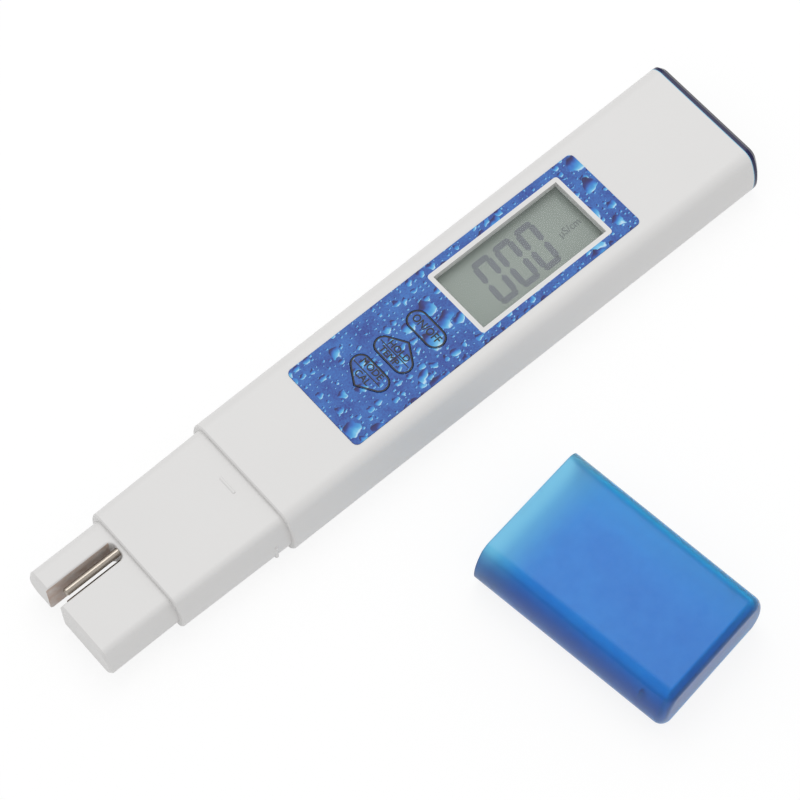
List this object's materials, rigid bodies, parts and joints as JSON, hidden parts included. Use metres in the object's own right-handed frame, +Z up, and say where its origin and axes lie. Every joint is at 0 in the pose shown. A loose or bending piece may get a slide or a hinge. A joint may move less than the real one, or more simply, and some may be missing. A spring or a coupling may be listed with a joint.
{
  "type": "water quality tester",
  "caption": "Pocket water tester: flat tapered white body with a stepped forked probe, two metal pins, display, keys, a battery drawer at its end and a blue cap lying beside it",
  "frame": {"origin": "on the resting plane, at the centre of the sleeve's flat back", "axes": "X along the pen towards the end cover, Z up through the display, Y across the pen"},
  "size_m": [0.1588, 0.0995, 0.0133],
  "materials": {
    "housing": "satin white moulded plastic",
    "label": "printed polycarbonate sheet with a water-drop pattern",
    "window": "clear acrylic",
    "display": "grey-green liquid crystal glass",
    "reflector": "foil reflector film",
    "frame_plastic": "natural moulded plastic",
    "elastomer": "silicone rubber with conductive layers",
    "board": "green solder mask on glass-fibre board",
    "steel": "zinc-plated steel",
    "chip": "black moulded package with tinned leads",
    "can": "metal can",
    "ceramic": "ceramic body with tinned ends",
    "resistor": "black glazed ceramic",
    "dome": "stainless spring sheet",
    "pin": "polished titanium alloy",
    "seal": "soft black rubber",
    "sensor": "epoxy-coated bead",
    "lead": "flat insulated ribbon lead",
    "contact": "nickel-plated spring bronze",
    "cover": "dark blue moulded plastic",
    "gasket": "pale soft rubber",
    "cell": "nickel-plated can",
    "switch": "black switch body",
    "plunger": "black switch plunger",
    "key": "printed key with a black outline",
    "cap": "frosted translucent blue plastic"
  },
  "bodies": {
    "tester": {"housing": "housing", "label": "label", "window_lens": "window", "display_front_glass": "display", "display_rear_glass": "display", "display_reflector": "reflector", "display_holder": "frame_plastic", "zebra_strips": "elastomer", "main_board": "board", "board_screws": "steel", "inner_chassis": "frame_plastic", "controller_chip": "chip", "amplifier_chip": "chip", "crystal": "can", "board_capacitors": "ceramic", "board_resistors": "resistor", "switch_domes": "dome", "electrode_front": "pin", "electrode_back": "pin", "electrode_seal": "seal", "temperature_sensor": "sensor", "electrode_leads": "lead", "sensor_leads": "lead", "battery_contacts": "contact", "on_off_switch": "switch", "hold_temp_switch": "switch", "mode_cal_switch": "switch"},
    "on_off_button": {"on_off_key": "key", "on_off_plunger": "plunger"},
    "hold_temp_button": {"hold_temp_key": "key", "hold_temp_plunger": "plunger"},
    "mode_cal_button": {"mode_cal_key": "key", "mode_cal_plunger": "plunger"},
    "battery_drawer": {"end_cover": "cover", "cover_gasket": "gasket", "battery_tray": "frame_plastic", "cell_a": "cell", "cell_b": "cell", "cell_link": "contact"},
    "cap": {"probe_cap": "cap"}
  },
  "joints": [
    {"name": "on_off_press", "type": "slide", "parent": "tester", "child": "on_off_button", "axis": [0, 0, -1], "range_m": [0, 0.0004], "stiffness_N_per_m": 400, "springref_m": -0.001},
    {"name": "hold_temp_press", "type": "slide", "parent": "tester", "child": "hold_temp_button", "axis": [0, 0, -1], "range_m": [0, 0.0004], "stiffness_N_per_m": 400, "springref_m": -0.001},
    {"name": "mode_cal_press", "type": "slide", "parent": "tester", "child": "mode_cal_button", "axis": [0, 0, -1], "range_m": [0, 0.0004], "stiffness_N_per_m": 400, "springref_m": -0.001},
    {"name": "battery_drawer_slide", "type": "slide", "parent": "tester", "child": "battery_drawer", "axis": [1, 0, 0], "range_m": [0, 0.02]},
    {"name": "cap_pull_off", "type": "slide", "parent": "tester", "child": "cap", "axis": [0.1271, -0.9919, 0], "range_m": [0, 0.041]}
  ]
}
